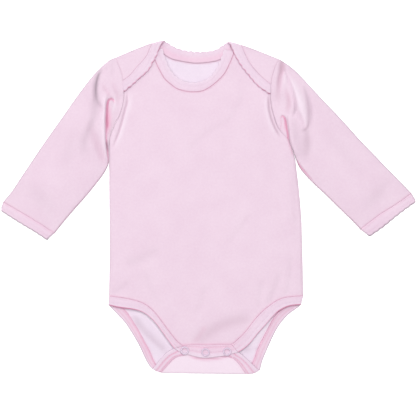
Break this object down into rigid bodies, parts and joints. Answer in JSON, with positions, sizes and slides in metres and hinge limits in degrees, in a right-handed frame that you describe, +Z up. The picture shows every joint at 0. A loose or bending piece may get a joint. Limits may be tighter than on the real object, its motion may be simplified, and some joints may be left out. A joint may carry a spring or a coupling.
{
  "type": "baby bodysuit",
  "caption": "Long-sleeved infant bodysuit in pale pink cotton knit, laid flat front up, with lapped shoulders, scalloped bound neck, bound leg openings and a snap crotch.",
  "frame": {"origin": "centre of the bounding box, on the surface that the garment lies on", "axes": "+Z up off the surface, out of the garment's front; +Y along the body from the crotch to the neck; +X towards the wearer's left sleeve"},
  "size_m": [0.4498, 0.3629, 0.0077],
  "materials": {
    "body_knit": "matte cotton interlock knit",
    "trim_knit": "matte cotton binding with a picot edge",
    "snap_enamel": "satin enamel on a ring snap"
  },
  "bodies": {
    "root": {"back_panel": "body_knit", "front_panel": "body_knit", "front_neck_binding": "trim_knit", "back_neck_binding": "trim_knit", "front_placket": "trim_knit", "leg_binding_right": "trim_knit", "leg_binding_left": "trim_knit", "sleeve_right": "body_knit", "sleeve_left": "body_knit", "cuff_right": "trim_knit", "cuff_left": "trim_knit", "snap_1": "snap_enamel", "snap_2": "snap_enamel", "snap_3": "snap_enamel"}
  },
  "joints": []
}
